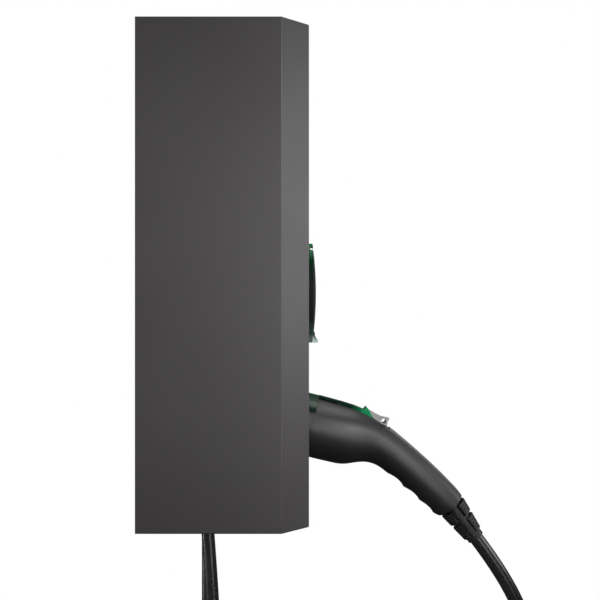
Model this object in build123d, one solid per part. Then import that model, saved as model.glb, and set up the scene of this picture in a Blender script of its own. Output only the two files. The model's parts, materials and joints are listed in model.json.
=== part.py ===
from build123d import *
import os
from math import atan2, cos, degrees, hypot, pi, radians, sin, sqrt, tan

# A wall-mounted charging station for electric vehicles. Millimetres, +Z up. The back lies on the
# wall at X = 0 and the front looks along +X. The origin is the centre of the four wall bolts.

# ---- driving dimensions ----
BOX_H = 520.0  # cover, top to bottom
BOX_W = 340.0  # cover, across the wall
BOX_D = 175.0  # cover, wall to front
CHAMFER = 27.5  # leg of the chamfer between each side and the front
SHEET = 2.0  # cover sheet
FOLD = 1.6  # outer radius of the cover's folds
TRAY_T = 2.5  # back tray sheet
TRAY_GAP = 0.5  # between the tray and the cover
TRAY_FLANGE = 20.0  # depth of the tray's return flanges
BOLT_Y = 240.0  # wall bolts, across
BOLT_Z = 400.0  # wall bolts, up
BOLT_R = 4.5

SOCKET_Z = -16.7  # centre of the socket and its flap
RING_R = 58.8  # light ring, outer radius
NECK_R = RING_R - 4.8  # back of the ring and the hole it passes through
RING_PROUD = 5.6  # light ring, at its rim
DOME_PROUD = 9.6  # flap, at its centre
FLAP_R = 50.4
RING_GAP = 0.9  # between the flap and the ring
HOLE_GAP = 0.4  # between what passes through the cover and the hole
FLAP_SKIN = 2.2
HINGE_DROP = 2.7  # hinge axis, below the flap's top edge
HINGE_IN = 2.4  # hinge axis, in front of the cover
HINGE_SWEEP = 5.3  # what the flap's top edge sweeps about the hinge
PIN_R = 1.5
RUN_GAP = 0.05  # running fit, on the radius
BARREL_R = 34.0  # socket barrel, outer
BARREL_IN_R = 29.5
CORE_R = 22.0  # contact carrier inside the barrel
SOCKET_DEPTH = 57.0  # barrel behind the cover's front

DOCK_TILT = 14.5  # the connector points down by this many degrees
DOCK_X = 178.8  # centre of the plane where the connector meets the collar
DOCK_Z = -173.9
HEAD_R = 36.8  # collar and connector head
COLLAR_T = 2.5
COLLAR_L = 24.0
HEAD_GAP = 0.6  # around the head where it passes the cover
NOSE_R = 21.6
NOSE_L = 38.0
NOSE_GAP = 0.4
CUP_T = 3.0
LEVER_T = 2.4  # latch lever strip on top of the head
LEVER_GAP = 0.5
LEVER_W = 14.0
SLOT_W = 17.0  # slot in the head for the lever
PIVOT_S = 38.0  # latch pin, along the head from the collar
PIVOT_T = 29.5  # latch pin, above the head's axis
HEAD_WALL = 2.8
GRIP_WALL = 4.6
GRIP_H = 44.0
GRIP_W = 41.0

CABLE_D = 17.0  # charging cable
SUPPLY_D = 14.0  # supply cable
CABLE_GLAND = (42.0, 105.0)
SUPPLY_GLAND = (40.3, 143.0)
COIL_R = 92.2  # charging cable's put-away coil, to the middle of its turns
COIL_TURNS = 7.31
COIL_STRANDS = 8
STRAND_PITCH = 17.6
COIL_CENTRE = (168.9, 94.0, -565.0)
RELIEF_L = 48.0

# ---- derived places ----
FRONT = BOX_D
HALF_W = BOX_W / 2
HALF_H = BOX_H / 2
INNER_FRONT = BOX_D - SHEET
FLOOR_Z = -HALF_H + SHEET + TRAY_GAP  # underside of the tray's bottom flange
PLATE_Z = FLOOR_Z + TRAY_T  # underside of the gland plate
PLATE_T = 3.0
PLATE_TOP = PLATE_Z + PLATE_T
HINGE_X = FRONT + HINGE_IN
HINGE_Z = SOCKET_Z + FLAP_R - HINGE_DROP
DOME_R = (RING_R**2 + (DOME_PROUD - RING_PROUD) ** 2) / (2 * (DOME_PROUD - RING_PROUD))
DOME_X = FRONT + DOME_PROUD - DOME_R
TILT = radians(DOCK_TILT)
AXIS = Vector(cos(TILT), 0, -sin(TILT))
UP = Vector(sin(TILT), 0, cos(TILT))
DOCK = Plane(origin=(DOCK_X, 0, DOCK_Z), x_dir=(0, 1, 0), z_dir=AXIS)
BUNDLE_R = STRAND_PITCH / (2 * sin(pi / COIL_STRANDS))
COIL_TUBE_R = BUNDLE_R + CABLE_D / 2

BASE = (Align.CENTER, Align.CENTER, Align.MIN)
os.makedirs("parts", exist_ok=True)


# ---- helpers ----
def block(x, y, z):
    """A box from its (low, high) limits along each axis."""
    size = [high - low for low, high in (x, y, z)]
    middle = [(high + low) / 2 for low, high in (x, y, z)]
    return Pos(*middle) * Box(*size)


def rod(start, direction, radius, length):
    """A round bar that begins at start and runs along direction."""
    return Plane(origin=start, z_dir=direction) * Cylinder(radius, length, align=BASE)


def out(x, radius, length, y=0.0, z=SOCKET_Z):
    """A round bar along +X."""
    return rod((x, y, z), (1, 0, 0), radius, length)


def pipe(x, outer, inner, length, y=0.0, z=SOCKET_Z):
    """A tube along +X."""
    return out(x, outer, length, y, z) - out(x - 1, inner, length + 2, y, z)


def across(x, z, radius, low, high):
    """A round bar along Y, between two places."""
    return rod((x, low, z), (0, 1, 0), radius, high - low)


def along(s, radius, length, y=0.0, t=0.0):
    """A round bar along the connector's axis, from s, at height t above it."""
    return DOCK * (Pos(y, t, s) * Cylinder(radius, length, align=BASE))


def dock_block(y, t, s):
    """A box in the connector's own frame: across, above the axis, along the axis."""
    return DOCK * block(y, t, s)


def dock_point(s, t, y=0.0):
    """A point of the connector's own frame as X, Y, Z."""
    place = Vector(DOCK_X, y, DOCK_Z) + AXIS * s + UP * t
    return (place.X, place.Y, place.Z)


def profile(points, low, high):
    """An outline given along and above the connector's axis, extruded across it."""
    face = make_face(Polyline(*[dock_point(s, t, low) for s, t in points], close=True))
    return extrude(face, amount=high - low, dir=(0, 1, 0))


def tube(points, diameter, radius=None, name=""):
    """A round cable along straight runs joined by tangent arcs."""
    if radius is None:
        radii = bend_radii(points)
        print(name, "bend radii", [round(r) for r in radii])
    path = FilletPolyline(*points, radius=radius or radii)
    start = Plane(origin=path @ 0, z_dir=path % 0)
    solid = sweep(start * Circle(diameter / 2), path=path)
    if name:
        share = solid.volume / (pi * diameter**2 / 4 * path.length)
        print(name, "length", round(path.length), "volume share", round(share, 3))
    return solid


def bend_radii(points):
    """As large an arc at each point as its two runs allow."""
    radii = []
    for before, here, after in zip(points, points[1:], points[2:]):
        run_in = Vector(here) - Vector(before)
        run_out = Vector(after) - Vector(here)
        half_turn = radians(run_in.get_angle(run_out)) / 2
        radii.append(0.45 * min(run_in.length, run_out.length) / tan(half_turn))
    return radii


def node(name, *solids):
    """Writes one node: one solid, or a group of separate ones."""
    shape = solids[0] if len(solids) == 1 else Compound(children=list(solids))
    export_step(shape, f"parts/{name}.step")


# ---- enclosure ----
def box_plan(inset):
    """The cover's plan, moved inwards: square at the wall, chamfered at the front."""
    half = HALF_W - inset
    front = FRONT - inset
    leg = CHAMFER - inset * (2 - sqrt(2))
    points = [(0, -half), (front - leg, -half), (front, leg - half)]
    points += [(front, half - leg), (front - leg, half), (0, half)]
    return make_face(Polyline(*points, close=True))


def dock_opening():
    """What the collar and the connector's head need through the front."""
    return along(-COLLAR_L, HEAD_R + HEAD_GAP, COLLAR_L + 60)


def cover():
    outer = Pos(0, 0, -HALF_H) * extrude(box_plan(0), amount=BOX_H)
    folds = [edge for edge in outer.edges() if edge.center().X > 1]
    outer = fillet(folds, FOLD)
    inner = Pos(0, 0, SHEET - HALF_H) * extrude(box_plan(SHEET), amount=BOX_H - 2 * SHEET)
    shell = outer - inner - block((-1, 0.01), (-HALF_W, HALF_W), (-HALF_H, HALF_H))
    shell -= out(INNER_FRONT - 2, NECK_R + HOLE_GAP, 10)
    shell -= dock_opening()
    shell -= block((-1, 70), (80, 162), (-HALF_H - 1, SHEET - HALF_H + 1))
    for y in COVER_SCREWS_Y:
        shell -= rod((COVER_SCREWS_X, y, -HALF_H - 1), (0, 0, 1), 2.7, 5)
    return shell


COVER_SCREWS_X = 12.0
COVER_SCREWS_Y = (-120.0, 30.0)


def cover_screws():
    screws = []
    for y in COVER_SCREWS_Y:
        head = rod((COVER_SCREWS_X, y, -HALF_H - 3), (0, 0, 1), 4.6, 3)
        head -= rod((COVER_SCREWS_X, y, -HALF_H - 3), (0, 0, 1), 2.0, 2)
        pin = rod((COVER_SCREWS_X, y, -HALF_H - 2.6), (0, 0, 1), 0.8, 1.6)
        shank = rod((COVER_SCREWS_X, y, -HALF_H), (0, 0, 1), 2.5, 14)
        screws.append(head + pin + shank)
    return screws


def back_plate():
    half_y = HALF_W - SHEET - TRAY_GAP
    half_z = -FLOOR_Z
    deep = TRAY_T + TRAY_FLANGE
    tray = block((0, deep), (-half_y, half_y), (-half_z, half_z))
    inner_y = half_y - TRAY_T
    inner_z = half_z - TRAY_T
    tray -= block((TRAY_T, deep + 1), (-inner_y, inner_y), (-inner_z, inner_z))
    for y in (-BOLT_Y / 2, BOLT_Y / 2):
        for z in (-BOLT_Z / 2, BOLT_Z / 2):
            tray -= out(-1, BOLT_R, TRAY_T + 2, y, z)
    for y in COVER_SCREWS_Y:
        tray -= rod((COVER_SCREWS_X, y, FLOOR_Z - 1), (0, 0, 1), 2.5, TRAY_T + 2)
    return tray


def cover_gasket():
    half_y = HALF_W - SHEET - TRAY_GAP
    half_z = -FLOOR_Z
    x = (TRAY_T + TRAY_FLANGE, TRAY_T + TRAY_FLANGE + 2)
    frame = block(x, (-half_y, half_y), (PLATE_TOP + 1, half_z))
    return frame - block((0, 60), (5 - half_y, half_y - 5), (PLATE_TOP + 6, half_z - 5))


def gland_plate():
    plate = block((TRAY_T, 90), (60, HALF_W - SHEET - TRAY_GAP - TRAY_T), (PLATE_Z, PLATE_TOP))
    for (x, y), radius in ((CABLE_GLAND, 12.5), (SUPPLY_GLAND, 10.0)):
        plate -= rod((x, y, PLATE_Z - 1), (0, 0, 1), radius, PLATE_T + 2)
    return plate


def gland(place, cable_d, thread_r, flats):
    """Gland body and dome nut, from the nut's lower end up through the plate."""
    x, y = place
    hexagon = RegularPolygon(flats / 2, 6, major_radius=False)
    body = Pos(x, y, PLATE_Z - 9) * extrude(hexagon, amount=9)
    body += rod((x, y, PLATE_Z), (0, 0, 1), thread_r, PLATE_T + 9)
    body += Pos(x, y, PLATE_Z - 24) * extrude(hexagon, amount=14)
    body += rod((x, y, PLATE_Z - 11), (0, 0, 1), flats / 2 - 2, 4)
    body += Pos(x, y, PLATE_Z - 29) * Cone(cable_d / 2 + 3, flats / 2, 5, align=BASE)
    return body - rod((x, y, PLATE_Z - 40), (0, 0, 1), cable_d / 2, 80)


def gland_boot(place, cable_d, length, lean):
    """Tapered rubber boot under a gland, with ribs, leaning as its cable does."""
    x, y = place
    low = cable_d / 2 + 1.2
    high = cable_d / 2 + 3
    boot = Cone(low, high, length, align=BASE)
    for step in range(4):
        boot += Pos(0, 0, 4 + step * length / 5) * Cylinder(low + 1.2 + 0.3 * step, 3, align=BASE)
    boot += Pos(0, 0, length) * Cylinder(high, 1, align=BASE)
    boot -= Cylinder(cable_d / 2, length + 1, align=BASE)
    boot = Pos(x, y, PLATE_Z - 29) * Rot(0, -lean, 0) * Pos(0, 0, -length) * boot
    return boot & block((x - 30, x + 30), (y - 30, y + 30), (PLATE_Z - 90, PLATE_Z - 29))


def locknut(place, thread_r, flats):
    x, y = place
    nut = Pos(x, y, PLATE_TOP) * extrude(RegularPolygon(flats / 2, 6, major_radius=False), amount=5)
    return nut - rod((x, y, PLATE_TOP - 1), (0, 0, 1), thread_r, 8)


def earth_stud():
    y, z = -150.0, -225.0
    stud = rod((TRAY_T, y, z), (1, 0, 0), 3, 20)
    hexagon = extrude(RegularPolygon(5, 6, major_radius=False), amount=5)
    nut = Pos(TRAY_T + 6, y, z) * Rot(0, 90, 0) * hexagon
    washer = out(TRAY_T, 7, 1.5, y, z)
    return stud + nut + washer


# ---- electrical equipment ----
RAIL_Z = 150.0
LOWER_RAIL_Z = -150.0
RAIL_H = 35.0
RAIL_D = 7.5
RAIL_FRONT = TRAY_T + RAIL_D
MODULE_H = 85.0
MODULE_D = 60.0


def din_rail(z, low, high):
    """Top-hat rail along Y."""
    half = RAIL_H / 2
    lips = block((RAIL_FRONT - 1, RAIL_FRONT), (low, high), (z - half, z + half))
    lips -= block((0, 60), (low, high), (z - half + 4, z + half - 4))
    web = block((TRAY_T, RAIL_FRONT), (low, high), (z - half + 3, z + half - 3))
    return lips + web - block((TRAY_T + 1, 60), (low - 1, high + 1), (z - half + 4, z + half - 4))


def module(low, high):
    """A rail-mounted device with a stepped front."""
    tall = (RAIL_Z - MODULE_H / 2, RAIL_Z + MODULE_H / 2)
    body = block((RAIL_FRONT, RAIL_FRONT + 34), (low, high), tall)
    body += block((RAIL_FRONT, RAIL_FRONT + MODULE_D), (low, high), (RAIL_Z - 22, RAIL_Z + 22))
    return body


RCBO_Y = (-140.0, -104.0)
TOGGLE_X = RAIL_FRONT + MODULE_D - 3
TOGGLE_Y = (-132.0, -112.0)
TOGGLE_R = 7.0
BUTTON_Y = -122.0
BUTTON_Z = RAIL_Z - 16
BUTTON_R = 3.5
BUTTON_TRAVEL = 1.5


def rcbo():
    body = module(*RCBO_Y)
    body -= across(TOGGLE_X, RAIL_Z, TOGGLE_R + 0.5, TOGGLE_Y[0] - 0.5, TOGGLE_Y[1] + 0.5)
    body -= out(RAIL_FRONT + MODULE_D - 6, BUTTON_R + RUN_GAP, 10, BUTTON_Y, BUTTON_Z)
    spindle = across(TOGGLE_X, RAIL_Z, 1.5, TOGGLE_Y[0] - 0.5, TOGGLE_Y[1] + 0.5)
    return body + spindle


def rcbo_toggle():
    drum = across(TOGGLE_X, RAIL_Z, TOGGLE_R, *TOGGLE_Y)
    handle = block((0, 14), (TOGGLE_Y[0] + 1, TOGGLE_Y[1] - 1), (-2, 2))
    drum += Pos(TOGGLE_X, 0, RAIL_Z) * Rot(0, -30, 0) * handle
    return drum - across(TOGGLE_X, RAIL_Z, 1.5 + RUN_GAP, *TOGGLE_Y)


def rcbo_test_button():
    return out(RAIL_FRONT + MODULE_D - 4, BUTTON_R, 4 + BUTTON_TRAVEL + 1, BUTTON_Y, BUTTON_Z)


def terminal_block():
    blocks = []
    for index in range(6):
        low = 60 + index * 12
        body = block((RAIL_FRONT, 48), (low, low + 11.5), (LOWER_RAIL_Z - 24, LOWER_RAIL_Z + 24))
        for z in (LOWER_RAIL_Z - 15, LOWER_RAIL_Z + 15):
            body -= out(40, 3, 20, low + 5.75, z)
        blocks.append(body)
    return blocks


BOARD_X = 14.0
BOARD_Y = (-150.0, 10.0)
BOARD_Z = (-130.0, 80.0)
BOARD_T = 1.6


def board_corners():
    return [(y, z) for y in (BOARD_Y[0] + 8, BOARD_Y[1] - 8) for z in (BOARD_Z[0] + 8, BOARD_Z[1] - 8)]


def controller_board():
    board = block((BOARD_X, BOARD_X + BOARD_T), BOARD_Y, BOARD_Z)
    for y, z in board_corners():
        board -= out(BOARD_X - 1, 1.7, 5, y, z)
    return board


def board_parts():
    face = BOARD_X + BOARD_T
    sizes = [(-130, 40, 16, 20, 15), (-105, 40, 16, 20, 15), (-80, 40, 16, 20, 15)]
    sizes += [(-120, -40, 34, 30, 22), (-60, -20, 24, 24, 3), (-40, 50, 30, 12, 12)]
    parts = []
    for y, z, width, height, depth in sizes:
        sides = (y - width / 2, y + width / 2)
        parts.append(block((face, face + depth), sides, (z - height / 2, z + height / 2)))
    parts += [out(face, 6, 20, -130 + index * 18, -95) for index in range(4)]
    parts.append(block((face, face + 14), (-60, 0), (-112, -98)))
    return parts


def board_standoffs():
    return [out(TRAY_T, 3, BOARD_X - TRAY_T, y, z) for y, z in board_corners()]


def wires(starts, middle, ends, diameter, bend):
    """Insulated cores, each from its start through a shared shape to its end."""
    cores = []
    for start, end in zip(starts, ends):
        points = [start] + [middle_point(start, end, *row) for row in middle] + [end]
        cores.append(tube(points, diameter, radius=bend))
    return cores


def middle_point(start, end, x, share, z):
    """A point between two ends: its own X and Z, and Y by its share of the way."""
    return (x, start[1] + (end[1] - start[1]) * share, z)


def wires_supply():
    x, y = SUPPLY_GLAND
    starts = [(x + dx, y + dy, PLATE_TOP + 12) for dx, dy in ((-3, -3), (3, -3), (0, 3))]
    ends = [(30, 125.75 - index * 12, LOWER_RAIL_Z - 24) for index in range(3)]
    return wires(starts, [(40, 0.1, -215), (30, 1, -200)], ends, 3.6, 6)


def wires_charge():
    x, y = CABLE_GLAND
    starts = [(x + dx, y + dy, PLATE_TOP + 12) for dx, dy in ((-4, 0), (4, 0), (0, 4))]
    ends = [(30, 89.75 - index * 12, LOWER_RAIL_Z - 24) for index in range(3)]
    return wires(starts, [(44, 0.1, -222), (30, 1, -207)], ends, 3.6, 6)


def wires_socket():
    depth = FRONT - SOCKET_DEPTH - 9
    starts = [(depth, y, z) for y, z in contact_places()[:5]]
    ends = [(50, -90 + index * 9, RAIL_Z - MODULE_H / 2 + 30 + 12) for index in range(5)]
    cores = []
    for index, (start, end) in enumerate(zip(starts, ends)):
        lane = 96 - index * 6
        points = [start, (lane, start[1], start[2]), (lane, end[1], 90)]
        points += [(37, end[1], 90), (37, end[1], RAIL_Z - MODULE_H / 2)]
        cores.append(tube(points, 3.6, radius=5))
    return cores


# ---- socket outlet ----
def dome(radius, offset=0.0):
    """Everything under the dome's surface, within a radius of the socket's axis."""
    ball = Pos(DOME_X, 0, SOCKET_Z) * Sphere(DOME_R - offset)
    return ball & out(FRONT - 10, radius, 30)


def hinge_sweep():
    return across(HINGE_X, HINGE_Z, HINGE_SWEEP, -19.5, 21.0)


def light_ring():
    ring = dome(RING_R) & block((FRONT, FRONT + 20), (-70, 70), (SOCKET_Z - 70, SOCKET_Z + 70))
    ring += out(FRONT - 2.2, NECK_R, 2.4)
    ring -= out(FRONT - 5, FLAP_R + RING_GAP, 30)
    swing = across(HINGE_X, HINGE_Z, HINGE_SWEEP + 1.9, -31, 31)
    swing &= block((HINGE_X + 0.2, FRONT + 20), (-31, 31), (HINGE_Z - 8, HINGE_Z + 8))
    return ring - hinge_sweep() - swing


def led_board():
    board = pipe(FRONT - 4, NECK_R, FLAP_R + RING_GAP, 1.6)
    board -= block((0, FRONT), (-20, 20.5), (HINGE_Z - 4, HINGE_Z + 20))
    leds = [polar(RING_R - 6.2, angle) for angle in range(30, 331, 30)]
    for y, z in leds:
        board += out(FRONT - 2.5, 0.7, 0.25, y, z)
    return board


def polar(radius, angle):
    """Y and Z of a place round the socket's axis."""
    return (radius * sin(radians(angle)), SOCKET_Z + radius * cos(radians(angle)))


FLANGE_R = 64.0
SOCKET_SCREW_R = 58.5


def socket_housing():
    body = out(FRONT - 7, FLANGE_R, 3)
    body += out(FRONT - 4.1, FLAP_R + RING_GAP, 3.1)
    body += out(FRONT - SOCKET_DEPTH, BARREL_R, SOCKET_DEPTH + 1.5)
    body -= hinge_sweep()
    for side in (-1, 1):
        low, high = sorted((side * 15.4, side * 19.4))
        body += across(HINGE_X, HINGE_Z, 2.9, low, high)
        web = block((FRONT - 5, HINGE_X), (low, high), (HINGE_Z - 2.9, HINGE_Z + 2.9))
        body += web & out(FRONT - 6, FLAP_R + RING_GAP - 0.1, 12)
    body -= across(HINGE_X, HINGE_Z, PIN_R, -25, 25)
    body -= out(FRONT - SOCKET_DEPTH - 1, BARREL_IN_R, SOCKET_DEPTH + 10)
    for angle in range(45, 360, 90):
        body -= out(FRONT - 10, 2.2, 10, *polar(SOCKET_SCREW_R, angle))
    body -= rod((LOCK_X, 0, SOCKET_Z), (0, 0, 1), LOCK_R + RUN_GAP, BARREL_R + 5)
    return body


def contact_places():
    """Seven contacts: earth in the middle, four below and beside it, two signals above."""
    power = [(-12, -2), (12, -2), (-7.5, -12.5), (7.5, -12.5)]
    return [(0, SOCKET_Z)] + [(y, SOCKET_Z + z) for y, z in power + [(-6, 11.5), (6, 11.5)]]


def contact_radius(index):
    return 4.2 if index < 5 else 3.0


def socket_insert():
    core = out(FRONT - SOCKET_DEPTH, BARREL_IN_R, 8)
    core += out(FRONT - SOCKET_DEPTH, CORE_R, SOCKET_DEPTH - 3)
    flat_z = (SOCKET_Z + 18, SOCKET_Z + CORE_R + 1)
    core -= block((FRONT - SOCKET_DEPTH + 8, FRONT), (-CORE_R, CORE_R), flat_z)
    for index, (y, z) in enumerate(contact_places()):
        core -= out(FRONT - SOCKET_DEPTH - 1, contact_radius(index), SOCKET_DEPTH + 5, y, z)
    return core


def socket_contacts():
    sleeves = []
    for index, (y, z) in enumerate(contact_places()):
        radius = contact_radius(index)
        sleeve = out(FRONT - SOCKET_DEPTH, radius, 44, y, z)
        sleeve -= out(FRONT - SOCKET_DEPTH + 10, radius - 1.4, 60, y, z)
        sleeves.append(sleeve + out(FRONT - SOCKET_DEPTH - 9, 2.4, 9, y, z))
    return sleeves


def socket_gasket():
    ring = pipe(FRONT - 4, FLANGE_R - 0.5, NECK_R + HOLE_GAP, 2)
    for angle in range(45, 360, 90):
        ring -= out(FRONT - 10, 2.2, 10, *polar(SOCKET_SCREW_R, angle))
    return ring


def socket_screws():
    screws = []
    for angle in range(45, 360, 90):
        place = polar(SOCKET_SCREW_R, angle)
        screws.append(out(FRONT - 9.5, 3.8, 2.5, *place) + out(FRONT - 7, 2, 5, *place))
    return screws


def flap():
    back = FRONT + 3.6
    shell = dome(FLAP_R) - out(FRONT - 20, FLAP_R + 1, back - FRONT + 20)
    hollow = dome(FLAP_R - 3, FLAP_SKIN)
    shell -= hollow + across(HINGE_X, HINGE_Z, 2.7, -9.5, 9.5)
    for side in (-1, 1):
        low, high = sorted((side * 15.1, side * 19.7))
        shell -= across(HINGE_X, HINGE_Z, 3.3, low, high)
        low, high = sorted((side * 10.0, side * 15.0))
        arm = across(HINGE_X, HINGE_Z, 2.9, low, high)
        arm += block((HINGE_X, FRONT + 5.6), (low, high), (HINGE_Z - 2.9, HINGE_Z + 1.5))
        shell += arm
    return shell - across(HINGE_X, HINGE_Z, PIN_R + RUN_GAP, -25, 25) + flap_lip()


def flap_lip():
    """Finger lip under the flap: it flares out over the ring."""
    z = SOCKET_Z - FLAP_R
    outline = [(6.4, 4.2), (7.9, 4.2), (8.6, -1.0), (12.0, -6.0)]
    outline += [(11.6, -7.6), (6.9, -8.4), (6.95, 2.4), (6.4, 2.6)]
    face = make_face(Polyline(*[(FRONT + x, -15, z + dz) for x, dz in outline], close=True))
    return extrude(face, amount=30, dir=(0, 1, 0))


def flap_pin():
    return across(HINGE_X, HINGE_Z, PIN_R, -19.4, 19.4)


def flap_spring():
    turns = 9
    wire = 0.35
    rings = []
    for index in range(turns):
        y = -8 + index * 16 / (turns - 1)
        rings.append(Pos(HINGE_X, y, HINGE_Z) * Rot(90, 0, 0) * Torus(PIN_R + wire + 0.1, wire))
    return rings


LOCK_X = FRONT - 27.0
LOCK_R = 3.0
LOCK_TOP = SOCKET_Z + 68.0


def lock_actuator():
    low = SOCKET_Z + BARREL_R + 0.2
    body = block((LOCK_X - 18, LOCK_X + 14), (-14, 14), (low, LOCK_TOP))
    body += block((LOCK_X - 24, LOCK_X - 17), (-9, 9), (low + 6, low + 20))
    return body - rod((LOCK_X, 0, low - 1), (0, 0, 1), LOCK_R + RUN_GAP, 32)


def lock_pin():
    return rod((LOCK_X, 0, SOCKET_Z + BARREL_IN_R + 0.2), (0, 0, 1), LOCK_R, 22)


# ---- dock ----
DOCK_SCREW_Y = 45.0
DOCK_SCREW_Z = (DOCK_Z - 46.0, DOCK_Z + 46.0)
CUP_L = 46.0


def dock_plate(low, high):
    plate = block((low, high), (-52, 52), (DOCK_Z - 53, DOCK_Z + 53))
    for y in (-DOCK_SCREW_Y, DOCK_SCREW_Y):
        for z in DOCK_SCREW_Z:
            plate -= out(low - 1, 2.2, high - low + 2, y, z)
    return plate


def dock_housing():
    bore_r = NOSE_R + NOSE_GAP
    body = dock_plate(INNER_FRONT - 5, INNER_FRONT - 2) - along(0, HEAD_R + HEAD_GAP, 60)
    body += along(-COLLAR_L, HEAD_R, COLLAR_L)
    body -= along(3 - COLLAR_L, HEAD_R - COLLAR_T, COLLAR_L + 60)
    body += along(-CUP_L, bore_r + CUP_T, CUP_L - 2)
    body -= along(3 - CUP_L, bore_r, CUP_L + 20)
    return body - light_sector()


def light_sector():
    """The part of the collar, over the top, that the light window fills."""
    ring = along(-15, HEAD_R, 15) - along(-20, HEAD_R - COLLAR_T, 40)
    side = 2 * HEAD_R
    wedge = [(0, 0), (-side, side / sqrt(3)), (-side, side), (side, side), (side, side / sqrt(3))]
    face = make_face(Polyline(*[(x, y, -20) for x, y in wedge], close=True))
    ring &= DOCK * extrude(face, amount=30)
    return ring - block((0, FRONT - SHEET - 0.2), (-60, 60), (DOCK_Z - 60, DOCK_Z + 60))


def dock_gasket():
    return dock_plate(INNER_FRONT - 2, INNER_FRONT) - dock_opening()


def dock_screws():
    screws = []
    for y in (-DOCK_SCREW_Y, DOCK_SCREW_Y):
        for z in DOCK_SCREW_Z:
            head = out(INNER_FRONT - 7.5, 3.8, 2.5, y, z)
            screws.append(head + out(INNER_FRONT - 5, 2, 5, y, z))
    return screws


# ---- connector ----
HEAD_TOP = HEAD_R - LEVER_T - LEVER_GAP
HEAD_H = HEAD_R + HEAD_TOP
HEAD_MID = (HEAD_TOP - HEAD_R) / 2
# Stations of the handle: along and above the head's axis, lean, height, width.
STATIONS = [
    (0.4, HEAD_MID, 0, HEAD_H, 70),
    (10, HEAD_MID, 0, HEAD_H, 69.6),
    (20, HEAD_MID, 0, HEAD_H - 0.2, 68.8),
    (32, HEAD_MID, 0.5, HEAD_H - 0.8, 67),
    (46, HEAD_MID + 0.1, 2, HEAD_H - 2.6, 63.5),
    (63.5, -0.8, 8.5, 60, 56),
    (79.5, -1.2, 14.5, 51, 48),
    (97.5, -6, 21.5, GRIP_H + 1, GRIP_W + 2),
    (120, -16.7, 27.5, GRIP_H, GRIP_W),
    (150, -31.8, 28.5, GRIP_H - 2, GRIP_W - 2),
    (168.5, -42, 28.5, GRIP_H - 3.5, GRIP_W - 3.5),
    (185.5, -50.6, 30, GRIP_H - 9.4, GRIP_W - 7.5),
]
END_S, END_T = STATIONS[-1][:2]
HANDLE_END = Vector(*dock_point(END_S, END_T))
CABLE_LEAN = 52.6  # the cable leaves the handle this far below level
CABLE_DIR = Vector(cos(radians(CABLE_LEAN)), 0, -sin(radians(CABLE_LEAN)))
GROOVE_R = 29.0


def station_plane(station):
    s, t, lean = station[:3]
    normal = Vector(0, -sin(radians(lean)), cos(radians(lean)))
    return Plane(origin=(0, t, s), x_dir=(1, 0, 0), z_dir=normal)


def handle_form(wall_head=0.0, wall_grip=0.0):
    """The handle as a smooth body through its stations, moved inwards by a wall."""
    sections = []
    for index, station in enumerate(STATIONS):
        share = min(max((index - 4) / 3, 0), 1)
        wall = wall_head + (wall_grip - wall_head) * share
        ellipse = Ellipse(station[4] / 2 - wall, station[3] / 2 - wall)
        sections.append(station_plane(station) * ellipse)
    return DOCK * loft(sections)


def handle_mouth():
    """What opens the shell's front end."""
    ellipse = Ellipse(STATIONS[0][4] / 2 - HEAD_WALL, HEAD_H / 2 - HEAD_WALL)
    return DOCK * Pos(0, HEAD_MID, -1) * extrude(ellipse, amount=3)


def groove_cuts():
    """Finger grooves under the grip, one between each two cusps."""
    cuts = []
    cusps = [(99.2, -31.7), (124.2, -42.6), (146.7, -53.8), (166.7, -64.4), (184.0, -71.0)]
    for (s0, t0), (s1, t1) in zip(cusps, cusps[1:]):
        gap = hypot(s1 - s0, t1 - t0)
        rise = sqrt(GROOVE_R**2 - gap**2 / 4)
        turn = atan2(t1 - t0, s1 - s0)
        middle = ((s0 + s1) / 2 + rise * sin(turn), (t0 + t1) / 2 - rise * cos(turn))
        x, _, z = dock_point(*middle)
        cuts.append(across(x, z, GROOVE_R, -60, 60))
    return cuts


def connector_body():
    body = handle_form()
    for cut in groove_cuts():
        body -= cut
    body -= handle_form(HEAD_WALL, GRIP_WALL) + handle_mouth()
    body -= dock_block((-SLOT_W / 2, SLOT_W / 2), (17.5, 60), (26, 91))
    body -= dock_block((-SLOT_W / 2, SLOT_W / 2), (24, HEAD_TOP - 1.3), (-5, 30))
    body -= latch_pin()
    for screw in connector_screws():
        body -= screw
    body -= along_cable(-30, CABLE_D / 2 + 0.2, 60)
    return body - cable_clamp() - along_cable(0, GRIP_W / 2, 20)


def half(body, side):
    """One side of the connector's shell."""
    low, high = sorted((0, side * 60))
    return body & block((150, 400), (low, high), (-320, -100))


def connector_screws():
    screws = []
    for s, t, seat in ((14, -27, 16), (55, -20, 19), (103, 6, 11), (128, -30, 12), (150, -45, 9.0)):
        x, _, z = dock_point(s, t)
        screws.append(across(x, z, 1.6, -seat, seat) + across(x, z, 3.2, seat, seat + 2.5))
    return screws


def connector_nose():
    nose = along(-NOSE_L, NOSE_R, NOSE_L + 2) + along(0.8, HEAD_R - HEAD_WALL - 3.8, 4)
    nose -= dock_block((-SLOT_W / 2, SLOT_W / 2), (NOSE_R + 0.1, 60), (-1, 10))
    for y, t, radius in nose_contacts():
        nose -= along(-NOSE_L - 1, radius, NOSE_L + 10, y, t)
    rim = along(-NOSE_L, NOSE_R, 6) - along(-NOSE_L - 1, NOSE_R - 2.4, 9)
    return nose - along(-NOSE_L - 1, NOSE_R - 2.4, 6) + rim


def nose_contacts():
    """Y, height and radius of the five contacts."""
    return [(-8.4, 7, 4.2), (8.4, 7, 4.2), (0, -10.5, 3.4), (-11, -6, 2.6), (11, -6, 2.6)]


def connector_contacts():
    pins = []
    for y, t, radius in nose_contacts():
        pin = along(6 - NOSE_L, radius, NOSE_L + 8, y, t)
        pins.append(pin - along(5 - NOSE_L, radius - 1.2, 24, y, t))
    return pins


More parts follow.
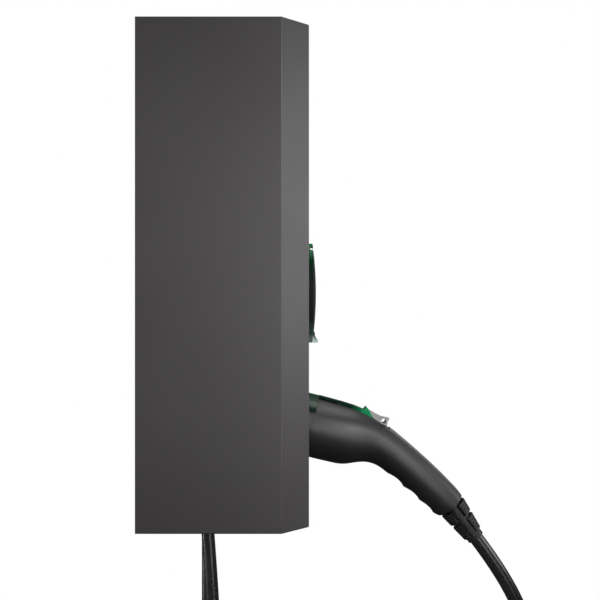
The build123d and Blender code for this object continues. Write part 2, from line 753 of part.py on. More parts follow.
def latch_lever():
    top = HEAD_R
    strip = [(0.5, top), (29.5, top - 0.3), (44.5, top - 1.1), (55.6, top - 2.7), (57.4, top + 1.4)]
    strip += [(62.0, top - 1.6), (68.0, 28.0), (60.0, 26.5), (44.0, 26.0), (PIVOT_S, 25.2), (33.0, 26.5)]
    strip += [(-14.0, 26.5), (-14.5, 25.5), (-18.0, 25.5), (-18.0, 29.5), (26.8, 29.8), (26.8, 34.3)]
    strip += [(0.5, top - LEVER_T)]
    lever = profile(strip, -LEVER_W / 2, LEVER_W / 2)
    x, _, z = dock_point(PIVOT_S, PIVOT_T)
    return lever - across(x, z, 1.6 + RUN_GAP, -20, 20)


def thumb_pad():
    web = [(62.2, 35.0), (78.0, 30.9), (87.8, 31.3), (87.6, 29.6), (86.8, 29.2), (87.0, 22.8)]
    web += [(79.0, 22.8), (68.2, 27.8)]
    pad = profile(web, -LEVER_W / 2, LEVER_W / 2)
    x, _, z = dock_point(81.6, 27.0)
    return pad - across(x, z, 2.7, -20, 20)


def latch_pin():
    x, _, z = dock_point(PIVOT_S, PIVOT_T)
    return across(x, z, 1.6, -12, 12)


def latch_spring():
    rings = []
    for index in range(6):
        rings.append(DOCK * (Pos(0, 15.2 + index * 1.9, 52) * Rot(90, 0, 0) * Torus(3.2, 0.5)))
    return rings


def proximity_switch():
    seat = dock_block((-6, 6), (11, 14.4), (42, 66))
    return seat + dock_block((-4, 4), (4, 11), (50, 68))


def along_cable(start, radius, length):
    """A round bar on the cable's axis, from start beyond the handle's end."""
    begin = HANDLE_END + CABLE_DIR * start
    return rod((begin.X, begin.Y, begin.Z), CABLE_DIR, radius, length)


def cable_clamp():
    return along_cable(-20, CABLE_D / 2 + 2.2, 12) - along_cable(-25, CABLE_D / 2, 60)


def cable_tail():
    return along_cable(-25, CABLE_D / 2, RELIEF_L + 25)


def strain_relief():
    """Segmented rubber boot: a neck, two heavy segments and a short last ring."""
    boot = along_cable(0, 12.4, 5)
    lengths = [(4.2, 12.8, 16.6, 15.2), (23.0, 18.0, 14.1, 12.2), (44.0, RELIEF_L - 44, 10.9, 10.2)]
    for start, length, first, last in lengths:
        begin = HANDLE_END + CABLE_DIR * start
        place = Plane(origin=begin, z_dir=CABLE_DIR)
        boot += place * Cone(first, last, length, align=BASE)
    boot += along_cable(0, 10.4, 44.2)
    return boot - along_cable(-1, CABLE_D / 2, 70)


def connector_cores():
    first, second = (HANDLE_END + CABLE_DIR * shift for shift in (-25, -40))
    cores = []
    for index, (y, t, _) in enumerate(nose_contacts()):
        spread = (index - 2) * 3.0
        points = [(first.X, spread, first.Z), (second.X, spread, second.Z), dock_point(118, -15, spread)]
        points += [dock_point(92, -5, spread), dock_point(45, -2 + t / 2, (spread + y) / 2)]
        points += [dock_point(26, t, y), dock_point(14, t, y)]
        cores.append(tube(points, 2.8, radius=5))
    return cores


# ---- cables ----
LEAD_LEAN = 4.36
COIL_OUT_ANGLE = 290.0
BOOT_L = 36.0


def boot_end(place, length, lean):
    x, y = place
    return Vector(x + length * sin(radians(lean)), y, PLATE_Z - 29 - length * cos(radians(lean)))


def coil_point(turns):
    """A point of the coil's centreline, by turns from where the cable enters it."""
    angle = pi + 2 * pi * turns
    twist = 2 * pi / COIL_STRANDS * (turns - COIL_TURNS)
    reach = COIL_R + BUNDLE_R * cos(twist)
    x, y, z = COIL_CENTRE
    return (x + reach * cos(angle), y + BUNDLE_R * sin(twist), z + reach * sin(angle))


def charge_cable_lead():
    first = boot_end(CABLE_GLAND, BOOT_L, LEAD_LEAN)
    into = coil_point(0)
    bend = (first.X + 118 * sin(radians(LEAD_LEAN)), 105.2, first.Z - 118)
    points = [(first.X, first.Y, first.Z), bend, into]
    return tube(points, CABLE_D, name="charge_cable_lead")


def charge_cable_coil():
    x, y, z = COIL_CENTRE
    return Pos(x, y, z) * Rot(90, 0, 0) * Torus(COIL_R, COIL_TUBE_R)


def cable_tie():
    """Hook-and-loop band round the top of the coil."""
    x, y, z = COIL_CENTRE
    ring = Circle(COIL_TUBE_R + 1.6) - Circle(COIL_TUBE_R + 0.1)
    section = Plane(origin=(x, y, z + COIL_R), x_dir=(0, 1, 0), z_dir=(1, 0, 0)) * ring
    band = revolve(section, axis=Axis((x, y, z), (0, 1, 0)), revolution_arc=13)
    return band.rotate(Axis((x, y, z), (0, 1, 0)), -6.5)


def charge_cable_rise():
    last = HANDLE_END + CABLE_DIR * RELIEF_L
    before = last + CABLE_DIR * 88
    points = [coil_point(COIL_TURNS), (310, 70, -640), (405, 40, -568), (446, 14, -470)]
    points += [(before.X, 0, before.Z), (last.X, 0, last.Z)]
    return tube(points, CABLE_D, name="charge_cable_rise")


SUPPLY_LOW = -640.0
CORE_TAIL = 45.0


def supply_cable():
    x, y = SUPPLY_GLAND
    top = PLATE_Z - 29 - BOOT_L + 8
    return rod((x, y, SUPPLY_LOW), (0, 0, 1), SUPPLY_D / 2, top - SUPPLY_LOW)


def supply_cores():
    x, y = SUPPLY_GLAND
    cores = []
    for index in range(5):
        angle = 2 * pi * index / 5
        place = (x + 3.6 * cos(angle), y + 3.6 * sin(angle))
        core = rod((*place, SUPPLY_LOW - CORE_TAIL), (0, 0, 1), 1.8, CORE_TAIL)
        cores.append(core + rod((*place, SUPPLY_LOW - CORE_TAIL - 10), (0, 0, 1), 1.1, 10))
    return cores


# ---- the nodes ----
node("back_plate", back_plate())
node("cover", cover())
node("cover_gasket", cover_gasket())
node("cover_screws", *cover_screws())
node("gland_plate", gland_plate())
node("gland_charge", gland(CABLE_GLAND, CABLE_D, 12.5, 30))
node("gland_supply", gland(SUPPLY_GLAND, SUPPLY_D, 10.0, 25))
node("gland_boot_charge", gland_boot(CABLE_GLAND, CABLE_D, BOOT_L, LEAD_LEAN))
node("gland_boot_supply", gland_boot(SUPPLY_GLAND, SUPPLY_D, BOOT_L - 8, 0))
node("gland_locknuts", locknut(CABLE_GLAND, 12.5, 30), locknut(SUPPLY_GLAND, 10.0, 26))
node("earth_stud", earth_stud())

node("din_rail_upper", din_rail(RAIL_Z, -150, 150))
node("din_rail_lower", din_rail(LOWER_RAIL_Z, 45, 145))
node("rcbo", rcbo())
node("rcbo_toggle", rcbo_toggle())
node("rcbo_test_button", rcbo_test_button())
node("contactor", module(-98, -44))
node("energy_meter", module(-36, 0))
node("power_supply", module(8, 62))
node("terminal_block", *terminal_block())
node("controller_board", controller_board())
node("board_parts", *board_parts())
node("board_standoffs", *board_standoffs())
node("wires_supply", *wires_supply())
node("wires_charge", *wires_charge())
node("wires_socket", *wires_socket())

node("light_ring", light_ring())
node("led_board", led_board())
node("socket_housing", socket_housing())
node("socket_insert", socket_insert())
node("socket_contacts", *socket_contacts())
node("socket_gasket", socket_gasket())
node("socket_screws", *socket_screws())
node("flap", flap())
node("flap_pin", flap_pin())
node("flap_spring", *flap_spring())
node("lock_actuator", lock_actuator())
node("lock_pin", lock_pin())

node("dock_housing", dock_housing())
node("dock_light", light_sector())
node("dock_gasket", dock_gasket())
node("dock_screws", *dock_screws())

shells = connector_body()
node("connector_shell_left", half(shells, -1))
node("connector_shell_right", half(shells, 1))
node("connector_screws", *connector_screws())
node("connector_nose", connector_nose())
node("connector_contacts", *connector_contacts())
node("latch_lever", latch_lever())
node("thumb_pad", thumb_pad())
node("latch_pin", latch_pin())
node("latch_spring", *latch_spring())
node("proximity_switch", proximity_switch())
node("cable_clamp", cable_clamp())
node("cable_tail", cable_tail())
node("strain_relief", strain_relief())
node("connector_cores", *connector_cores())

node("charge_cable", charge_cable_lead(), charge_cable_rise())
node("charge_cable_coil", charge_cable_coil())
node("cable_tie", cable_tie())
node("supply_cable", supply_cable(), *supply_cores())
print("coil turns", COIL_TURNS, "length", round(COIL_TURNS * 2 * pi * COIL_R))
print("handle end", HANDLE_END, "hinge", HINGE_X, HINGE_Z)
print("latch pin", dock_point(PIVOT_S, PIVOT_T), "axis", AXIS)
print("head slope", round(degrees(TILT), 1))
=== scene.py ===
import json
from math import cos, pi, radians, sin

import bpy
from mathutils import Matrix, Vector


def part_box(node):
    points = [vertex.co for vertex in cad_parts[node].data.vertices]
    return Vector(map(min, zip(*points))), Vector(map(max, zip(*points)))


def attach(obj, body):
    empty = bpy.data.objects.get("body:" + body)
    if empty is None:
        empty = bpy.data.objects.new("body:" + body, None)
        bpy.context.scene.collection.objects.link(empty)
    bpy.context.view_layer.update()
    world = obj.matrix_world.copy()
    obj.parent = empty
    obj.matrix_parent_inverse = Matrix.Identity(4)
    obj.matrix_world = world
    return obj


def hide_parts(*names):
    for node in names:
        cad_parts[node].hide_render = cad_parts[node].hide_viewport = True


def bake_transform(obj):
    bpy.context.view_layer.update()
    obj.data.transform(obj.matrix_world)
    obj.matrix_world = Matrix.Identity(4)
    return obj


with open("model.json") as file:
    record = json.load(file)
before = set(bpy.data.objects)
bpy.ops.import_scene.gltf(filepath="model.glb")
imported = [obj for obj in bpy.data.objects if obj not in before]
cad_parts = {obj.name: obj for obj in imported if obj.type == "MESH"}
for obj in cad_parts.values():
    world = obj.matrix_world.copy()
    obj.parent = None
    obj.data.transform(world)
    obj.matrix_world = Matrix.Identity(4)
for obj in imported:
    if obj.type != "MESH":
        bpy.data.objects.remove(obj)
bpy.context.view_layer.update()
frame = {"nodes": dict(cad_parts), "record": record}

NODES = frame["nodes"]

MM = 0.001

CAMERA_PLACE = (0.1657, -1.079, -0.0249)
CAMERA_LENS = 54.36
SENSOR_WIDTH = 36
ROOM_LIGHT = 0.045  # strength of the even light from all round
FLOOR_Z = -1.25
FLOOR_R = 1.8
FLOOR_SIDES = 96
FLOOR_GLOW = 0.62
COVER_EDGE = 1.8 * MM  # how far the cover's folds and edges are rounded

# name, place, what it points at, its two sides, power, and its spread in degrees
LIGHTS = [
    ("key", (0.55, -1.3, 0.0), (0.17, 0, 0), (0.4, 0.4), 1.25, 80),
    ("left", (-2.3, -2.0, 0.5), (0.1, 0, 0), (1.2, 1.2), 8.8, 80),
    ("front", (1.2, -0.05, 0.12), (0.17, 0, 0), (0.6, 0.6), 1.0, 80),
    ("upper", (0.75, -0.75, 0.3), (0.2, 0, 0), (0.4, 0.4), 1.3, 80),
    ("over", (0.40, 0.35, 0.9), (0.32, 0, -0.22), (0.8, 0.9), 0.6, 80),
    ("handle_top", (0.45, -0.02, 0.6), (0.32, 0, -0.22), (0.4, 0.25), 0.42, 80),
    ("cable_left", (-1.05, -0.05, -0.44), (0.045, 0.105, -0.42), (0.10, 0.5), 0.32, 40),
    ("cable_right", (0.76, -0.73, -0.44), (0.045, 0.105, -0.42), (0.14, 0.5), 0.12, 40),
    ("back_right", (1.3, 1.5, 0.6), (0.2, 0, -0.1), (1.0, 1.0), 1.4, 80),
    ("back_left", (-1.2, 1.5, 0.6), (0.1, 0, -0.1), (1.0, 1.0), 2.0, 80),
]


# ---- camera, floor and light ----
def aim(obj, target):
    obj.rotation_euler = (Vector(target) - obj.location).to_track_quat("-Z", "Y").to_euler()


def add_camera():
    data = bpy.data.cameras.new("camera")
    data.lens = CAMERA_LENS
    data.sensor_width = SENSOR_WIDTH
    data.clip_end = 50
    camera = bpy.data.objects.new("camera", data)
    bpy.context.collection.objects.link(camera)
    camera.location = CAMERA_PLACE
    camera.rotation_euler = (pi / 2, 0, 0)
    bpy.context.scene.camera = camera


def add_light(name, place, target, size, power, spread):
    data = bpy.data.lights.new(name, "AREA")
    data.shape = "RECTANGLE"
    data.size, data.size_y = size
    data.energy = power
    data.spread = radians(spread)
    light = bpy.data.objects.new(name, data)
    bpy.context.collection.objects.link(light)
    light.location = place
    aim(light, target)


def add_world():
    """White where the camera looks past the object, dim for everything else."""
    world = bpy.data.worlds.new("studio")
    world.use_nodes = True
    tree = world.node_tree
    seen = tree.nodes["Background"]
    seen.inputs["Color"].default_value = (1, 1, 1, 1)
    lit = tree.nodes.new("ShaderNodeBackground")
    lit.inputs["Color"].default_value = (1.0, 0.985, 0.99, 1)
    lit.inputs["Strength"].default_value = ROOM_LIGHT
    mix = tree.nodes.new("ShaderNodeMixShader")
    rays = tree.nodes.new("ShaderNodeLightPath")
    tree.links.new(rays.outputs["Is Camera Ray"], mix.inputs["Fac"])
    tree.links.new(lit.outputs["Background"], mix.inputs[1])
    tree.links.new(seen.outputs["Background"], mix.inputs[2])
    tree.links.new(mix.outputs["Shader"], tree.nodes["World Output"].inputs["Surface"])
    bpy.context.scene.world = world


def add_floor():
    mesh = bpy.data.meshes.new("floor")
    angles = [2 * pi * i / FLOOR_SIDES for i in range(FLOOR_SIDES)]
    rim = [(FLOOR_R * cos(angle), FLOOR_R * sin(angle), FLOOR_Z) for angle in angles]
    mesh.from_pydata(rim, [], [tuple(range(FLOOR_SIDES))])
    floor = bpy.data.objects.new("floor", mesh)
    bpy.context.collection.objects.link(floor)
    material = bpy.data.materials.new("pale_floor")
    material.use_nodes = True
    shader = material.node_tree.nodes["Principled BSDF"]
    shader.inputs["Base Color"].default_value = (0.8, 0.8, 0.8, 1)
    shader.inputs["Roughness"].default_value = 0.9
    shader.inputs["Emission Color"].default_value = (1, 1, 1, 1)
    shader.inputs["Emission Strength"].default_value = FLOOR_GLOW
    mesh.materials.append(material)
    floor.visible_diffuse = False
    floor.visible_glossy = False


# ---- materials ----
class Surface:
    """A Principled material with helpers for its procedural detail."""

    def __init__(self, name, colour, rough, metallic=0.0, coat=0.0, coat_rough=0.05, spec=0.5):
        self.material = bpy.data.materials.new(name)
        self.material.use_nodes = True
        tree = self.material.node_tree
        self.nodes = tree.nodes
        self.links = tree.links
        self.shader = self.nodes["Principled BSDF"]
        self.shader.inputs["Metallic"].default_value = metallic
        self.shader.inputs["Coat Weight"].default_value = coat
        self.shader.inputs["Coat Roughness"].default_value = coat_rough
        self.shader.inputs["Specular IOR Level"].default_value = spec
        self.place = self.nodes.new("ShaderNodeTexCoord").outputs["Object"]
        self.colour = colour
        self.rough = rough
        self.normal = None
        self.set_value("Base Color", (*colour, 1))
        self.set_value("Roughness", rough)

    def set_value(self, socket, value):
        self.shader.inputs[socket].default_value = value

    def link(self, output, socket):
        self.links.new(output, self.shader.inputs[socket])

    def noise(self, scale, detail=3.0, stretch=(1, 1, 1), roughness=0.55):
        mapping = self.nodes.new("ShaderNodeMapping")
        mapping.inputs["Scale"].default_value = stretch
        self.links.new(self.place, mapping.inputs["Vector"])
        noise = self.nodes.new("ShaderNodeTexNoise")
        noise.inputs["Scale"].default_value = scale
        noise.inputs["Detail"].default_value = detail
        noise.inputs["Roughness"].default_value = roughness
        self.links.new(mapping.outputs["Vector"], noise.inputs["Vector"])
        return noise.outputs["Fac"]

    def spread(self, value, into_low, into_high, from_low=0.3, from_high=0.7):
        remap = self.nodes.new("ShaderNodeMapRange")
        remap.inputs["From Min"].default_value = from_low
        remap.inputs["From Max"].default_value = from_high
        remap.inputs["To Min"].default_value = into_low
        remap.inputs["To Max"].default_value = into_high
        self.links.new(value, remap.inputs["Value"])
        return remap.outputs["Result"]

    def ramp(self, value, stops):
        ramp = self.nodes.new("ShaderNodeValToRGB")
        elements = ramp.color_ramp.elements
        while len(elements) < len(stops):
            elements.new(0.5)
        for element, (place, colour) in zip(elements, stops):
            element.position = place
            element.color = (*colour, 1)
        self.links.new(value, ramp.inputs["Fac"])
        return ramp.outputs["Color"]

    def vary_colour(self, scale, amount, **noise):
        """Uneven tone from broad noise."""
        dark = tuple(c * (1 - amount) for c in self.colour)
        light = tuple(min(c * (1 + amount), 1) for c in self.colour)
        self.link(self.ramp(self.noise(scale, **noise), [(0.3, dark), (0.7, light)]), "Base Color")
        return self

    def vary_rough(self, scale, amount, **noise):
        spread = self.spread(self.noise(scale, **noise), self.rough - amount, self.rough + amount)
        self.link(spread, "Roughness")
        return self

    def relief(self, height, distance, strength=1.0):
        """Adds bumps, in metres, over those already there."""
        bump = self.nodes.new("ShaderNodeBump")
        bump.inputs["Strength"].default_value = strength
        bump.inputs["Distance"].default_value = distance
        self.links.new(height, bump.inputs["Height"])
        if self.normal is not None:
            self.links.new(self.normal, bump.inputs["Normal"])
        self.normal = bump.outputs["Normal"]
        self.link(self.normal, "Normal")
        return self

    def grain(self, scale, distance, strength=1.0, **noise):
        return self.relief(self.noise(scale, **noise), distance, strength)

    def way_along(self, axis, low, high):
        """0 to 1 between two places on one axis."""
        split = self.nodes.new("ShaderNodeSeparateXYZ")
        self.links.new(self.place, split.inputs["Vector"])
        return self.spread(split.outputs[axis], 0, 1, low, high)


def powder_coat():
    paint = Surface("powder_coat", (0.042, 0.0385, 0.041), 0.46)
    paint.vary_colour(3.0, 0.07, detail=2).vary_rough(9.0, 0.04)
    return paint.grain(1400, 0.00004, 0.35).grain(260, 0.00006, 0.25)


def galvanised():
    zinc = Surface("galvanised_steel", (0.45, 0.46, 0.47), 0.42, metallic=1.0)
    spangle = zinc.nodes.new("ShaderNodeTexVoronoi")
    spangle.inputs["Scale"].default_value = 150
    zinc.links.new(zinc.place, spangle.inputs["Vector"])
    tone = zinc.nodes.new("ShaderNodeSeparateColor")
    zinc.links.new(spangle.outputs["Color"], tone.inputs["Color"])
    stops = [(0.0, (0.38, 0.39, 0.40)), (1.0, (0.50, 0.51, 0.52))]
    zinc.link(zinc.ramp(tone.outputs["Red"], stops), "Base Color")
    zinc.link(zinc.spread(tone.outputs["Green"], 0.36, 0.50, 0, 1), "Roughness")
    return zinc.grain(600, 0.00001, 0.3)


def rubber(name="gasket_rubber", tone=0.018, rough=0.62):
    surface = Surface(name, (tone, tone, tone), rough, spec=0.4)
    return surface.vary_colour(40, 0.2).vary_rough(120, 0.08).grain(1800, 0.00003, 0.4)


def steel(name, tone=0.55, rough=0.3, stretch=(1, 1, 1)):
    surface = Surface(name, (tone, tone, tone * 1.01), rough, metallic=1.0)
    surface.vary_colour(150, 0.08, stretch=stretch).vary_rough(220, 0.07)
    return surface.grain(900, 0.00001, 0.3)


def plastic(name, colour, rough, coat=0.0, grain=0.00003):
    surface = Surface(name, colour, rough, coat=coat)
    return surface.vary_colour(25, 0.1).vary_rough(60, 0.05).grain(1500, grain, 0.4)


def board():
    surface = Surface("circuit_board", (0.01, 0.09, 0.035), 0.3, coat=0.5)
    return surface.vary_colour(220, 0.35, detail=1).vary_rough(80, 0.08).grain(900, 0.00003, 0.4)


def brass():
    surface = Surface("silvered_brass", (0.66, 0.62, 0.52), 0.25, metallic=1.0)
    return surface.vary_colour(180, 0.1).vary_rough(300, 0.07).grain(900, 0.00001, 0.3)


def plastic_with_painted_light(name, along, stops, rough=0.12):
    """Plastic whose colour changes along one direction to paint light and shade on it, with a
    slight unevenness.
    """
    surface = Surface(name, (0.02, 0.2, 0.08), rough, coat_rough=0.15, spec=0.12)
    axis, low, high = along
    tint = surface.ramp(surface.way_along(axis, low, high), stops)
    shift = surface.spread(surface.noise(120, detail=2), 0.86, 1.14)
    mix = surface.nodes.new("ShaderNodeVectorMath")
    mix.operation = "SCALE"
    surface.links.new(tint, mix.inputs[0])
    surface.links.new(shift, mix.inputs["Scale"])
    surface.link(mix.outputs["Vector"], "Base Color")
    return surface.vary_rough(70, 0.03).grain(500, 0.000005, 0.15)


def flap_gloss():
    """Near-black gloss dome with painted light on its finger lip: pale green towards the bottom
    edge, as if the ring's light came through.
    """
    bottom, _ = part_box("flap")
    lip_top = bottom.z + 8.5 * MM
    # painted light: pale green at the lip's bottom edge, fading up to the dome's own near-black
    stops = [
        (0.0, (0.50, 0.64, 0.57)),
        (0.55, (0.28, 0.38, 0.33)),
        (0.95, (0.014, 0.016, 0.015)),
        (1.0, (0.012, 0.012, 0.0125)),
    ]
    return plastic_with_painted_light("flap_gloss", ("Z", bottom.z, lip_top), stops, rough=0.16)


def light_ring():
    """Dark smoke-green plastic with painted light: green at the top as light coming through from
    above, nearly black round the middle, a painted pale reflection at the bottom.
    """
    box_low, box_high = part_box("light_ring")
    # painted reflection: pale at the bottom; painted light: green at the top
    stops = [
        (0.0, (0.62, 0.76, 0.69)),
        (0.035, (0.38, 0.50, 0.44)),
        (0.10, (0.05, 0.095, 0.07)),
        (0.24, (0.012, 0.014, 0.013)),
        (0.62, (0.010, 0.012, 0.011)),
        (0.80, (0.003, 0.020, 0.008)),
        (0.90, (0.004, 0.070, 0.022)),
        (1.0, (0.012, 0.220, 0.075)),
    ]
    return plastic_with_painted_light("light_ring", ("Z", box_low.z, box_high.z), stops)


def dock_window():
    box_low, box_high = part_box("dock_light")
    # painted light: greener towards the top, as light coming through from above
    stops = [
        (0.0, (0.006, 0.013, 0.009)),
        (0.6, (0.008, 0.022, 0.013)),
        (1.0, (0.012, 0.045, 0.024)),
    ]
    return plastic_with_painted_light("dock_window", ("Z", box_low.z, box_high.z), stops, rough=0.2)


def handle():
    surface = Surface("handle_plastic", (0.0112, 0.0109, 0.0109), 0.46)
    surface.vary_colour(18, 0.12).vary_rough(45, 0.05)
    return surface.grain(1600, 0.00005, 0.5).grain(120, 0.00003, 0.12)


def lever():
    """Translucent green plastic, with painted shade making it nearly black along the strip and
    painted light making it green where the thumb presses.
    """
    box_low, box_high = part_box("latch_lever")
    # painted shade along the strip, painted light towards the thumb end
    stops = [
        (0.0, (0.004, 0.016, 0.010)),
        (0.70, (0.004, 0.022, 0.012)),
        (0.80, (0.006, 0.10, 0.04)),
        (0.9, (0.012, 0.26, 0.10)),
    ]
    return plastic_with_painted_light("lever_green", ("X", box_low.x, box_high.x), stops, rough=0.15)


def cable_jacket(name="cable_jacket", tone=0.014, rough=0.3):
    surface = Surface(name, (tone, tone, tone * 1.05), rough, coat=0.3, coat_rough=0.2)
    surface.vary_colour(35, 0.25).vary_rough(25, 0.03)
    return surface.grain(500, 0.000003, 0.1)


def tape():
    surface = Surface("hook_and_loop", (0.02, 0.02, 0.021), 0.9)
    surface.set_value("Sheen Weight", 0.4)
    weave = surface.nodes.new("ShaderNodeTexVoronoi")
    weave.inputs["Scale"].default_value = 900
    surface.links.new(surface.place, weave.inputs["Vector"])
    return surface.vary_colour(400, 0.3).relief(weave.outputs["Distance"], 0.0003, 0.7)


SURFACES = {
    "cover_coat": powder_coat(),
    "galvanised": galvanised(),
    "gasket_rubber": rubber(),
    "screw_steel": steel("zinc_screws"),
    "spring_steel": steel("spring_wire", 0.45, 0.26),
    "gland_plastic": plastic("gland_plastic", (0.022, 0.022, 0.023), 0.42),
    "module_plastic": plastic("module_plastic", (0.55, 0.56, 0.56), 0.5),
    "toggle_plastic": plastic("toggle_plastic", (0.02, 0.03, 0.12), 0.35),
    "button_plastic": plastic("button_plastic", (0.6, 0.45, 0.05), 0.35),
    "board_laminate": board(),
    "board_components": plastic("component_black", (0.03, 0.03, 0.033), 0.5),
    "core_insulation": plastic("core_insulation", (0.10, 0.05, 0.025), 0.35),
    "contact_brass": brass(),
    "black_plastic": plastic("black_plastic", (0.014, 0.014, 0.0145), 0.44, grain=0.00005),
    "flap_gloss": flap_gloss(),
    "green_light": light_ring(),
    "handle_plastic": handle(),
    "lever_green": lever(),
    "pad_grey": plastic("pad_grey", (0.30, 0.30, 0.29), 0.42),
    "clamp_plastic": plastic("clamp_plastic", (0.05, 0.05, 0.05), 0.5),
    "cable_jacket": cable_jacket(),
    "supply_jacket": cable_jacket("supply_jacket", 0.014, 0.36),
    "relief_rubber": rubber("relief_rubber", 0.011, 0.48),
    "tie_fabric": tape(),
}


def dress_nodes():
    for part in frame["record"]["subparts"]:
        mesh = NODES[part["node"]].data
        mesh.materials.clear()
        mesh.materials.append(SURFACES[part["material_slot"]].material)
    window = NODES["dock_light"].data
    window.materials.clear()
    window.materials.append(dock_window().material)


def soften_edges(node, width):
    """Rounds a CAD piece's sharp edges, as folding and painting leave them."""
    bevel = NODES[node].modifiers.new("softened", "BEVEL")
    bevel.width = width
    bevel.segments = 3
    bevel.limit_method = "ANGLE"
    bevel.angle_limit = radians(35)
    bevel.harden_normals = True


# ---- cables ----
CABLE_D = 17 * MM
BOOT_END = (0.04474, 0.105, -0.3199)
RELIEF_END = (0.37487, 0, -0.30746)
COIL_R = 92.2 * MM  # to the middle of the turns
COIL_TURNS = 7.31
COIL_STRANDS = 8
STRAND_PITCH = 17.6 * MM
BUNDLE_R = STRAND_PITCH / (2 * sin(pi / COIL_STRANDS))
COIL_CENTRE = (0.1689, 0.094, -0.565)
POINTS_PER_TURN = 24


def coil_point(turns):
    """A point of the coil's centreline, by turns from where the cable enters it."""
    angle = pi + 2 * pi * turns
    twist = 2 * pi / COIL_STRANDS * (turns - COIL_TURNS)
    reach = COIL_R + BUNDLE_R * cos(twist)
    x, y, z = COIL_CENTRE
    return (x + reach * cos(angle), y + BUNDLE_R * sin(twist), z + reach * sin(angle))


def charging_route():
    points = [BOOT_END, (0.0537, 0.1052, -0.4379)]
    steps = round(COIL_TURNS * POINTS_PER_TURN)
    points += [coil_point(COIL_TURNS * step / steps) for step in range(steps + 1)]
    points += [(0.310, 0.070, -0.640), (0.405, 0.040, -0.568), (0.446, 0.014, -0.470)]
    return points + [(0.4283, 0, -0.3774), RELIEF_END]


def spline_curve(name, points):
    data = bpy.data.curves.new(name, "CURVE")
    data.dimensions = "3D"
    spline = data.splines.new("NURBS")
    spline.points.add(len(points) - 1)
    for point, place in zip(spline.points, points):
        point.co = (*place, 1)
    spline.order_u = 3
    spline.use_endpoint_u = True
    spline.resolution_u = 12
    curve = bpy.data.objects.new(name, data)
    bpy.context.collection.objects.link(curve)
    return curve


def centreline(name, points):
    """The smooth line of a route, as points."""
    guide = spline_curve(name + "_guide", points)
    bpy.context.view_layer.update()
    mesh = bpy.data.meshes.new_from_object(guide)
    line = [vertex.co.copy() for vertex in mesh.vertices]
    bpy.data.meshes.remove(mesh)
    bpy.data.objects.remove(guide)
    return line


def frames_along(line):
    """Each point of a line with two steady directions across it."""
    ahead = (line[1] - line[0]).normalized()
    side = ahead.orthogonal().normalized()
    found = []
    for index, point in enumerate(line):
        before = line[max(index - 1, 0)]
        after = line[min(index + 1, len(line) - 1)]
        new = (after - before).normalized()
        side = (side - new * side.dot(new)).normalized()
        found.append((point, side, new.cross(side)))
    return found


def tube_shape(line, radius, sides):
    """The vertices and faces of a closed round tube along a line."""
    rings = []
    for point, side, up in frames_along(line):
        ring = []
        for step in range(sides):
            angle = 2 * pi * step / sides
            ring.append(point + side * (radius * cos(angle)) + up * (radius * sin(angle)))
        rings.append(ring)
    vertices = [vertex for ring in rings for vertex in ring]
    faces = []
    for row in range(len(rings) - 1):
        for step in range(sides):
            here, there = row * sides, (row + 1) * sides
            following = (step + 1) % sides
            faces.append((here + step, here + following, there + following, there + step))
    faces.append(tuple(reversed(range(sides))))
    last = (len(rings) - 1) * sides
    faces.append(tuple(range(last, last + sides)))
    return vertices, faces


def new_piece(name, vertices, faces):
    mesh = bpy.data.meshes.new(name)
    mesh.from_pydata([tuple(vertex) for vertex in vertices], [], faces)
    piece = bpy.data.objects.new(name, mesh)
    bpy.context.collection.objects.link(piece)
    return piece


def tube_piece(name, line, radius, sides=24):
    """A tube that is smooth along its length and sharp round its two ends."""
    vertices, faces = tube_shape(line, radius, sides)
    piece = new_piece(name, vertices, faces)
    mesh = piece.data
    mesh.polygons.foreach_set("use_smooth", [len(face) == 4 for face in faces])
    for edge in mesh.edges:
        ends = {vertex // sides for vertex in edge.vertices}
        edge.use_edge_sharp = ends in ({0}, {len(line) - 1})
    return piece


def wear(piece, slot):
    piece.data.materials.append(SURFACES[slot].material)
    return piece


def charging_cable():
    line = centreline("charging_cable", charging_route())
    cable = wear(tube_piece("charging_cable", line, CABLE_D / 2), "cable_jacket")
    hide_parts("charge_cable", "charge_cable_coil")
    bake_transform(cable)


# ---- strain relief ----
RELIEF_WAY = Vector((0.6071, 0, -0.7946))  # along the cable, away from the handle
RELIEF_L = 48 * MM
RELIEF_CORE_R = 10.3 * MM
RIB_INNER_R = 9.6 * MM
RIB_SLANT = 0.5 * MM
RIB_REACH = 1.12  # radians to each side of a rib's middle
RIB_STEPS = 14
RIB_GAP = 0.35
RIB_TAPER = 0.2
# middle angle, first and last millimetre, first and last radius in millimetres, ribs
RIB_GROUPS = [
    (0, 2.0, 17.0, 17.2, 15.4, 4),
    (0, 21.6, 40.4, 14.9, 12.4, 5),
    (pi, 4.4, 18.8, 16.9, 15.2, 4),
    (pi, 23.6, 42.2, 14.7, 12.4, 5),
]


def rib(vertices, faces, span, radii, middle):
    """Adds one part-ring of rubber round the cable, with its edges cut at a slant."""
    across = Vector((0, 1, 0))
    above = RELIEF_WAY.cross(across)
    start, end = span
    profile = [
        (start, RIB_INNER_R),
        (start, radii[0] - RIB_SLANT),
        (start + RIB_SLANT, radii[0]),
        (end - RIB_SLANT, radii[1]),
        (end, radii[1] - RIB_SLANT),
        (end, RIB_INNER_R),
    ]
    first = len(vertices)
    for step in range(RIB_STEPS + 1):
        angle = middle + RIB_REACH * (2 * step / RIB_STEPS - 1)
        out = above * cos(angle) + across * sin(angle)
        for along, radius in profile:
            place = Vector(RELIEF_END) + RELIEF_WAY * (along - RELIEF_L)
            vertices.append(place + out * radius)
    size = len(profile)
    for step in range(RIB_STEPS):
        for corner in range(size):
            here = first + step * size
            after = (corner + 1) % size
            faces.append((here + corner, here + after, here + size + after, here + size + corner))
    faces.append(tuple(first + corner for corner in reversed(range(size))))
    last = first + RIB_STEPS * size
    faces.append(tuple(last + corner for corner in range(size)))


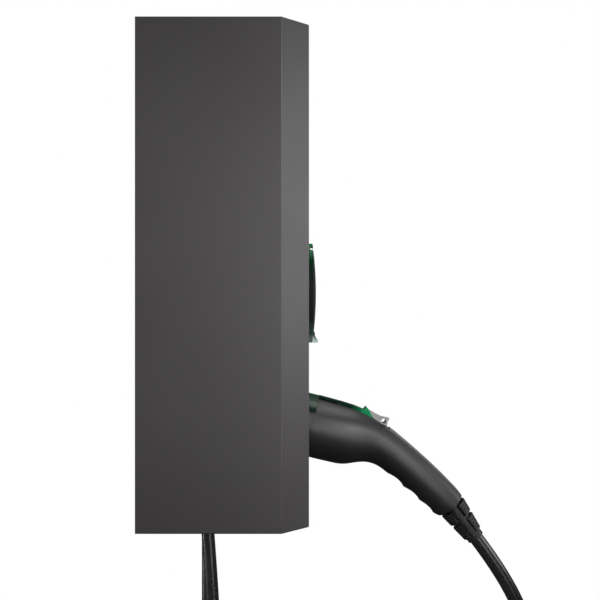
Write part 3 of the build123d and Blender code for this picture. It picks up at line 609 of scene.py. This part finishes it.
def strain_boot():
    """The relief's core, with ribs above and below that leave its sides open."""
    end = Vector(RELIEF_END)
    back = end - RELIEF_WAY * RELIEF_L
    line = [back.lerp(end, step / 8) for step in range(9)]
    vertices, faces = tube_shape(line, RELIEF_CORE_R, 24)
    for middle, start, stop, wide, slim, ribs in RIB_GROUPS:
        pitch = (stop - start) / ribs
        for index in range(ribs):
            near = start + pitch * index
            radius = wide + (slim - wide) * (index + 0.5) / ribs
            gap = RIB_GAP if index + 1 < ribs else 0
            span = (near * MM, (near + pitch - gap) * MM)
            radii = ((radius + RIB_TAPER) * MM, (radius - RIB_TAPER) * MM)
            rib(vertices, faces, span, radii, middle)
    boot = wear(new_piece("strain_boot", vertices, faces), "relief_rubber")
    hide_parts("strain_relief")
    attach(boot, "connector")


# ---- supply cable ----
SUPPLY_D = 14 * MM
CORE_R = 1.8 * MM
CORE_RING_R = 3.6 * MM
CORE_TAIL = 45 * MM  # bare of sheath
CORE_STEP = 4.9 * MM
FERRULE_R = 1.1 * MM
FERRULE_STEP = 2 * MM
SUPPLY_X = 0.0403
SUPPLY_Y = 0.143
SUPPLY_TOP = -0.312
SUPPLY_LOW = -0.640
CORE_COLOURS = {
    "brown": (0.10, 0.035, 0.012),
    "black": (0.012, 0.012, 0.012),
    "grey": (0.22, 0.22, 0.22),
    "blue": (0.02, 0.07, 0.28),
    "earth": (0.10, 0.30, 0.02),
}


def earth_stripes(surface):
    """Green with a yellow stripe along the core."""
    wave = surface.nodes.new("ShaderNodeTexWave")
    wave.bands_direction = "X"
    wave.inputs["Scale"].default_value = 120
    surface.links.new(surface.place, wave.inputs["Vector"])
    tint = surface.ramp(wave.outputs["Fac"], [(0.48, surface.colour), (0.52, (0.62, 0.55, 0.02))])
    surface.link(tint, "Base Color")


def supply_cable():
    places = [SUPPLY_TOP, -0.40, -0.50, -0.58, SUPPLY_LOW]
    line = centreline("supply_cable", [(SUPPLY_X, SUPPLY_Y, z) for z in places])
    cable = wear(tube_piece("supply_cable_jacket", line, SUPPLY_D / 2), "supply_jacket")
    pieces = []
    core_top = SUPPLY_LOW + 4 * MM
    ferrule_top = SUPPLY_LOW - CORE_TAIL
    for index, (name, colour) in enumerate(CORE_COLOURS.items()):
        angle = 2 * pi * index / len(CORE_COLOURS)
        x = SUPPLY_X + CORE_RING_R * cos(angle)
        y = SUPPLY_Y + CORE_RING_R * sin(angle)
        core_line = [Vector((x, y, core_top - step * CORE_STEP)) for step in range(11)]
        core = tube_piece("supply_core_" + name, core_line, CORE_R, 20)
        insulation = plastic("insulation_" + name, colour, 0.35)
        if name == "earth":
            earth_stripes(insulation)
        core.data.materials.append(insulation.material)
        ferrule_line = [Vector((x, y, ferrule_top - step * FERRULE_STEP)) for step in range(6)]
        ferrule = tube_piece("supply_ferrule_" + name, ferrule_line, FERRULE_R, 16)
        wear(ferrule, "contact_brass")
        pieces += [core, ferrule]
        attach(core, "root")
        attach(ferrule, "root")
    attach(cable, "root")
    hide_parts("supply_cable")


add_camera()
add_world()
add_floor()
for light in LIGHTS:
    add_light(*light)
dress_nodes()
soften_edges("cover", COVER_EDGE)
charging_cable()
strain_boot()
supply_cable()

bpy.context.scene.view_settings.view_transform = "Standard"
